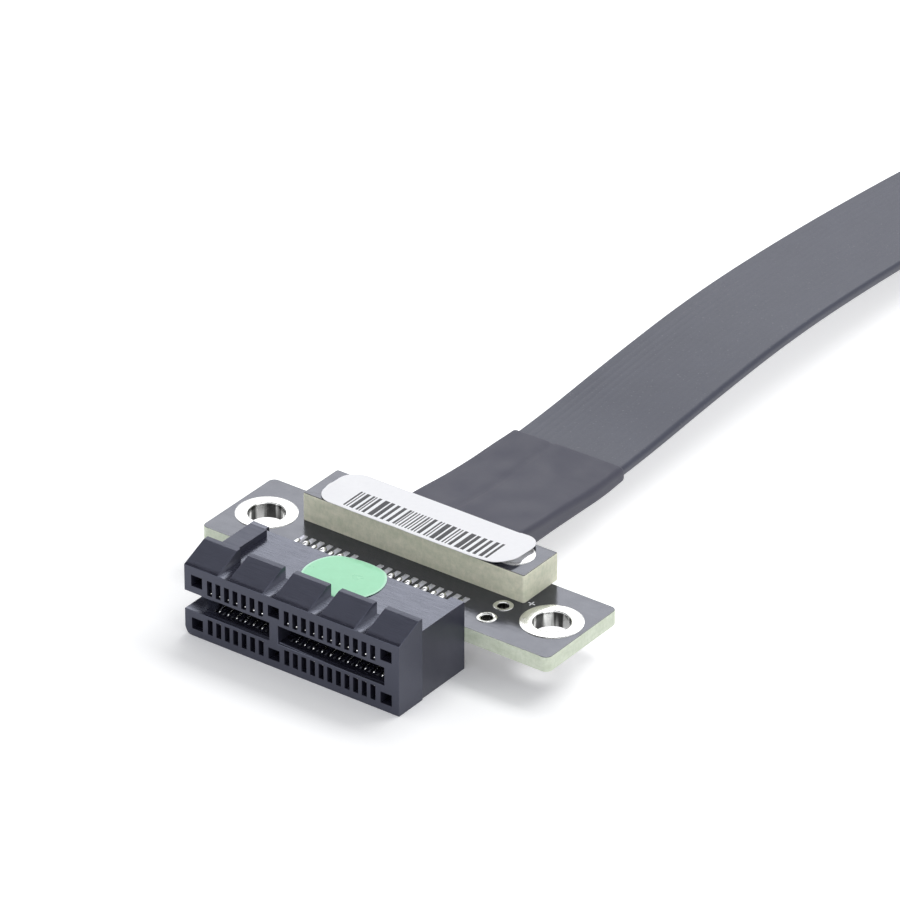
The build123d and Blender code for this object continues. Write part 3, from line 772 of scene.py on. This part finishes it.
# Below the plug board, which lies on the floor, rings and solder are flat
for end, board, post_node, bulge in (
    ("", "main_board", "bar_posts", 0.02), ("plug_", "plug_board", "plug_posts", 0.0),
):
    under, base = corners(board)[:, 2]
    bar_thickness = np.ptp(corners(end + "clamp_bar")[:, 2])
    on_bar = ring_centres(end + "post_rings", 0, base)
    on_board = ring_centres(end + "post_rings", 0, under)
    bar_plating = plated_holes(end + "bar_plating", on_bar,
                               ring_profile(post_bore, bar_ring, bar_thickness, lower=False),
                               [end + "bar_rings"])
    post_plating = plated_holes(end + "post_plating", on_board,
                                ring_profile(post_bore, post_ring, board_thickness, upper=False, bulge=bulge),
                                [end + "post_rings"])
    # Solder: a dome in the middle, the cosine of the way out to the power 1.6, whose foot runs over the ring
    out = np.linspace(0, dome_radius, 12)
    dome = copper + 0.035 + dome_height * np.cos(np.clip(out / dome_radius, 0, 1) * np.pi / 2) ** 1.6
    top = np.c_[out, dome + board_thickness + bar_thickness]
    stem = [(stem_radius, board_thickness + bar_thickness + 0.03), (stem_radius, 0.0)]
    inwards = out[::-1]
    foot = np.c_[inwards, 0.005 - copper - bulge * (1.2 + np.cos(inwards / dome_radius * np.pi / 2))]
    solder_posts = plated_holes(end + "solder_posts", on_board, np.r_[top, stem, foot], [post_node], solder)

for node, side in (("top_pads", 1), ("bottom_pads", -1)):
    flat_row(f"{node}_tinned", node, side, contact_xs, pad_width, height=0.085, rounding=0.24, corner=0.12,
             material=pad_tin)
finger_pieces = [
    flat_row(f"{node}_plated", node, side, finger_xs, finger_width, height=0.05, rounding=0.04, corner=0.16,
             material=gold)
    for node, side in (("plug_fingers_top", 1), ("plug_fingers_bottom", -1))
]

# Solder fillets at the feet's toes, larger at every second foot
toe = corners("upper_contacts")[1, 1]
grow = np.where(np.arange(contact_count) % 2 == 0, 0.90, 1.25)
for side, surface, name in ((1, board_over, "upper_toe_solder"), (-1, board_under, "lower_toe_solder")):
    level = np.full(contact_count, surface + side * copper)
    places = np.c_[contact_xs, np.full(contact_count, toe - 0.02), level]
    sizes = np.c_[0.27 * grow, 0.42 * grow, 0.27 * grow]
    points, faces = mounds(places, sizes, side=side)
    make(name, points, faces, solder)


# Contacts

# How far behind the housing's front, and how far from the card's plane, a contact has its corners: the tip in
# its window, the bow that meets the card, the run through the housing, and the foot on its pad
contact_corners = [
    (0.2, 1.48), (1.0, 1.48), (1.36, 1.34), (1.62, 1.03), (2.7, 0.72), (3.2, 0.72), (6.2, 1.85), (9.0, 2.2),
    (10.92, 2.2), (12.12, 0.95), (13.47, 0.95),
]


def contact_strips(name, node, side):
    """Stamped strips, one profile carried along one bent line for all. The line's corners are rounded by
    the quadratic curve (1 - t)^2 A + 2 t (1 - t) P + t^2 B between points A and B near the corner P. The
    profile is a superellipse, x and z being the cosine and sine of the turn to the power 0.75, as wide as
    the strip is there, and it shrinks over the round tip as a circle does."""
    half_thickness, tip, squareness = 0.1, 0.1, 0.75
    corner = np.array(contact_corners)
    step = np.diff(corner, axis=0)
    long = np.linalg.norm(step, axis=1, keepdims=True)
    ahead = step / long
    reach = np.minimum(0.3, np.minimum(long[:-1], long[1:]) * 0.35)
    before = (corner[1:-1] - ahead[:-1] * reach)[:, None]
    after = (corner[1:-1] + ahead[1:] * reach)[:, None]
    t = np.linspace(0, 1, 6)[None, :, None]
    bends = (1 - t) ** 2 * before + 2 * t * (1 - t) * corner[1:-1, None] + t ** 2 * after
    round_tip = np.array([0.0, 0.012, 0.03, 0.06, tip])
    start = corner[0] + ahead[0] * round_tip[:, None]
    line = np.concatenate([start, bends.reshape(-1, 2), corner[-1:]])
    forward = np.gradient(line, axis=0)
    forward /= np.linalg.norm(forward, axis=1, keepdims=True)
    upward = np.stack([-forward[:, 1], forward[:, 0]], -1)
    close = np.ones(len(line))
    close[:len(round_tip)] = np.sqrt(1 - (1 - round_tip / tip) ** 2 * 0.97)
    half_wide = np.interp(line[:, 0], (1.1, 1.4, 1.6, 1.8, 2.95), (0.12, 0.16, 0.16, 0.09, 0.2)) * close
    half_thick = half_thickness * close
    turn = np.linspace(0, 2 * np.pi, 16, endpoint=False)
    across = np.sign(np.cos(turn)) * np.abs(np.cos(turn)) ** squareness
    above = np.sign(np.sin(turn)) * np.abs(np.sin(turn)) ** squareness
    lift = above[None, :, None] * half_thick[:, None, None] * upward[:, None]
    flat = line[:, None] + lift
    x = across[None] * half_wide[:, None]
    strip = np.stack([x, housing_low[1] + flat[..., 0], card_plane + side * flat[..., 1]], -1)
    points = strip[None] + np.c_[contact_xs, np.zeros((contact_count, 2))][:, None, None]
    count, size = len(turn), len(line) * len(turn)
    faces = grid_faces(len(line), count, round_cols=True)
    faces += [list(range(count)), list(range(size - count, size))[::-1]]
    return make(name, points, repeated(faces, size, contact_count), contact, sharp=60,
                stands_for=[node])


contact_strips("upper_contact_strips", "upper_contacts", 1)
contact_strips("lower_contact_strips", "lower_contacts", -1)


# Label and sticker

def thicken(piece, wall):
    """Gives an open sheet its thickness, upwards."""
    solid = piece.modifiers.new("thickness", "SOLIDIFY")
    solid.thickness = wall * MM
    solid.offset = 1.0


def curled_label():
    """A rounded rectangle laid over the bar: the width at each place along is the straight sides' or, near
    an end, what a quarter circle leaves. It lies a little over the bar in slow waves, swells by a bell
    curve over the left post, lifts towards its right end by the square of the way there, and hangs down
    behind the bar."""
    middle, half = (label_low + label_high) / 2, (label_high - label_low) / 2
    corner = 2.0
    swell_height, end_lift, sag_depth, wave_height = 0.13, 0.30, 0.12, 0.03
    turn = np.linspace(0, np.pi / 2, 12)
    reach = (half[0] - corner + corner * np.sin(turn))[::-1]
    along = np.r_[-reach, np.linspace(-reach[-1], reach[-1], 60)[1:-1], reach[::-1]]
    past = np.clip(np.abs(along) - (half[0] - corner), 0, corner)
    width = half[1] - corner + np.sqrt(np.maximum(corner ** 2 - past ** 2, 0))
    over = np.linspace(-1, 1, 21)
    x = middle[0] + along[:, None] + 0 * over
    y = middle[1] + width[:, None] * over
    post_x, post_y, base = ring_centres("post_rings", 0, bar_high[2] + copper)[0]
    swell = swell_height * np.exp(-((x - post_x) / 1.6) ** 2 - ((y - post_y) / 1.7) ** 2)
    lift = end_lift * np.clip((x - 5.2) / 4.8, 0, 1.1) ** 2 * (1 - 0.12 * (y - middle[1]))
    sag = sag_depth * np.clip((y - bar_high[1]) / 0.5, 0, 1) ** 2 * (x < 8)
    wave = wave_height * np.sin(x * 0.9 + 0.4) * np.cos(y * 0.7)
    z = base + 0.03 + np.maximum(swell + lift - sag + wave, 0.0)
    points, faces = np.stack([x, y, z], -1), grid_faces(len(along), len(over))
    piece = make("bar_label_film", points, faces, paper, closed=False, stands_for=["bar_label"])
    lay_uv(piece, "label", read(piece.data.vertices, "co", 3)[:, :2] / MM)
    thicken(piece, film_thickness)


def bent_sticker():
    """A disc of rings out from its middle, a little wider than deep. Where the roof ends behind, it bends
    down by the way past to the power 1.4, and against the ribs it stops short. Its attribute rim is 0 in
    the middle and 1 at the edge."""
    middle_x, front = (sticker_low[0] + sticker_high[0]) / 2 + 0.2, sticker_low[1]
    wide, deep, roof_end = 4.1, 3.9, housing_high[1] - 0.62
    middle_y = front + deep - 0.55
    ring = np.linspace(0, 1, 15)[:, None]
    turn = np.linspace(0, 2 * np.pi, 72, endpoint=False)
    x = middle_x + wide * ring * np.cos(turn)
    y = np.maximum(middle_y + deep * ring * np.sin(turn), front + 0.02 * ring)
    past = np.clip(y - roof_end, 0, None)
    lift = 0.02 + 0.015 * np.sin(x * 1.7) * np.sin(y * 1.3)
    z = roof + np.maximum(lift, 0.01) - 0.30 * past ** 1.4
    points, faces = np.stack([x, y, z], -1), grid_faces(len(ring), len(turn), round_cols=True)
    piece = make("round_sticker_film", points, faces, green, closed=False,
                 stands_for=["round_sticker"])
    x, y, _ = (read(piece.data.vertices, "co", 3) / MM).T
    rim = np.hypot((x - middle_x) / wide, (y - middle_y) / deep)
    piece.data.attributes.new("rim", "FLOAT", "POINT").data.foreach_set("value", rim.astype(np.float32))
    thicken(piece, film_thickness)


curled_label()
bent_sticker()

# A small printed cross beside the right mounting hole
ink, ink_tree, ink_shader = finish("white_ink", 0.45)
flecks = grain(ink_tree, place(ink_tree), 0.3)
colour(ink_tree, ink_shader, mixed(ink_tree, flecks, (0.62, 0.63, 0.66), (0.78, 0.79, 0.82)))
cross_at = (13.3, 5.95, board_over - 0.004)
for name, wide, deep in (("cross_stroke_a", 0.75, 0.13), ("cross_stroke_b", 0.13, 0.75)):
    points, faces = tiles([cross_at], wide, deep, height=0.014, rounding=0.01, corner=0.04)
    make(name, points, faces, ink)


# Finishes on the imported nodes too, those that stay and those that a piece stands for

def dress(node, material):
    """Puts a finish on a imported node's own slots."""
    piece = nodes[node]
    if not piece.material_slots:
        piece.data.materials.append(material)
    for holder in piece.material_slots:
        holder.material = material


for material, dressed in (
    (plastic, ["socket_housing"]),
    (mask, ["main_board", "plug_board"]),
    (laminate, ["clamp_bar", "plug_clamp_bar"]),
    (contact, ["upper_contacts", "lower_contacts"]),
    (tin, ["socket_wires", "plug_wires", "left_mount_ring", "right_mount_ring", "header_rings", "bar_rings",
           "post_rings", "plug_bar_rings", "plug_post_rings"]),
    (pad_tin, ["socket_lands", "plug_lands", "top_pads", "bottom_pads"]),
    (solder, ["bar_posts", "plug_posts"]),
    (gold, ["plug_fingers_top", "plug_fingers_bottom"]),
    (paper, ["bar_label"]),
    (green, ["round_sticker"]),
    (film, ["socket_sleeve", "plug_sleeve"]),
    (jacket, ["cable_jacket"]),
):
    for node in dressed:
        dress(node, material)


# Stage: a pale floor, an even sky, and one soft panel behind and above

def sees_background(tree):
    """1 for rays from the camera, off gloss and through clear pieces, 0 for light on its way to things."""
    path = tree.nodes.new("ShaderNodeLightPath").outputs
    return maths(tree, "MAXIMUM", path["Is Camera Ray"], path["Is Glossy Ray"], path["Is Transmission Ray"])


def along_ray(tree, ray, direction):
    """How far a ray goes in a direction: 1 straight along it, 0 square to it and -1 against it."""
    return add(tree, "ShaderNodeVectorMath", operation="DOT_PRODUCT", _0=ray, _1=direction).outputs["Value"]


floor_mesh = bpy.data.meshes.new("floor")
floor_mesh.from_pydata([(-4, -4, 0), (4, -4, 0), (4, 4, 0), (-4, 4, 0)], [], [(0, 1, 2, 3)])
floor = bpy.data.objects.new("floor", floor_mesh)
bpy.context.scene.collection.objects.link(floor)
# The floor is matte, and behind the socket it also has painted light: a glow of its own for what sees the
# background, which lightens the floor's shadows there, the cable's among them
backdrop = bpy.data.materials.new("pale_floor")
backdrop.use_nodes = True
floor_tree = backdrop.node_tree
floor_tree.nodes.clear()
pale = mixed(floor_tree, sees_background(floor_tree), (0.84, 0.84, 0.84), (1.0, 1.0, 1.0))
matte = add(floor_tree, "ShaderNodeBsdfDiffuse", Color=pale)
spot = floor_tree.nodes.new("ShaderNodeTexCoord").outputs["Object"]
along = add(floor_tree, "ShaderNodeSeparateXYZ", Vector=spot).outputs[1]
# Painted light: the glow rises from just behind the socket's front and fades out past about 0.15 m back
behind = ranged(floor_tree, along, -0.002, 0.010, 0.07, 0.52)
beyond = ranged(floor_tree, along, 0.15, 0.19, 1.0, 0.15)
painted_glow = maths(floor_tree, "MULTIPLY", behind, beyond, sees_background(floor_tree))
glow = add(floor_tree, "ShaderNodeEmission", Color=(1, 1, 1, 1), Strength=painted_glow)
both = floor_tree.nodes.new("ShaderNodeAddShader")
floor_tree.links.new(matte.outputs[0], both.inputs[0])
floor_tree.links.new(glow.outputs[0], both.inputs[1])
floor_end = floor_tree.nodes.new("ShaderNodeOutputMaterial")
floor_tree.links.new(both.outputs[0], floor_end.inputs[0])
floor_mesh.materials.append(backdrop)

# The sky lights everything evenly. What sees the background sees white, with a darker patch where the ribs'
# slopes look and more light low in front, and gloss also sees a bright screen where the level faces look
sky_strength = 0.76
screen_strength = 2.95
world = bpy.data.worlds.new("studio")
world.use_nodes = True
sky = world.node_tree
sky_shader = sky.nodes["Background"]
sky_shader.inputs["Color"].default_value = (0.97, 0.98, 1, 1)
outward = sky.nodes.new("ShaderNodeTexCoord").outputs["Generated"]
up = add(sky, "ShaderNodeSeparateXYZ", Vector=outward).outputs[2]
aside = maths(sky, "ABSOLUTE", along_ray(sky, outward, (0.804, 0.595, 0.0)), 0.0)
ahead = along_ray(sky, outward, (-0.595, 0.804, 0.0))
dark_patch = ranged(sky, along_ray(sky, outward, (-0.514, 0.124, 0.849)), 0.78, 0.92, 1.0, 0.10)
front = ranged(sky, ahead, -0.05, -0.35, 0.0, 1.2)
screen = maths(sky, "MULTIPLY", ranged(sky, up, 0.38, 0.52), ranged(sky, up, 0.77, 0.64),
               ranged(sky, aside, 0.55, 0.35), ranged(sky, ahead, 0.3, 0.5))
gloss_only = sky.nodes.new("ShaderNodeLightPath").outputs["Is Glossy Ray"]
bright = maths(sky, "MULTIPLY", screen, gloss_only, screen_strength)
background = sees_background(sky)
seen = maths(sky, "MULTIPLY", maths(sky, "ADD", dark_patch, front, bright), background)
unseen = maths(sky, "MULTIPLY", maths(sky, "SUBTRACT", 1.0, background), sky_strength)
sky.links.new(maths(sky, "ADD", seen, unseen), sky_shader.inputs["Strength"])
bpy.context.scene.world = world


def soft_panel(name, towards, distance, width, height, radiance):
    """A rectangular light that faces the object from a direction and shows neither to the camera nor in
    gloss. Its power is its radiance times its area times pi."""
    light = bpy.data.lights.new(name, "AREA")
    light.shape = "RECTANGLE"
    light.size, light.size_y = width, height
    light.energy = radiance * width * height * np.pi
    panel = bpy.data.objects.new(name, light)
    out = np.array(towards, float) / np.linalg.norm(towards)
    panel.location = out * distance
    level = np.hypot(out[0], out[1])
    panel.rotation_euler = (np.arctan2(level, out[2]), 0, np.arctan2(out[0], -out[1]))
    panel.visible_camera = False
    panel.visible_glossy = False
    bpy.context.scene.collection.objects.link(panel)


soft_panel("key_panel", towards=(0.04, 0.66, 0.95), distance=1.3, width=1.1, height=0.4, radiance=4.9)

bpy.context.scene.view_settings.view_transform = "Standard"
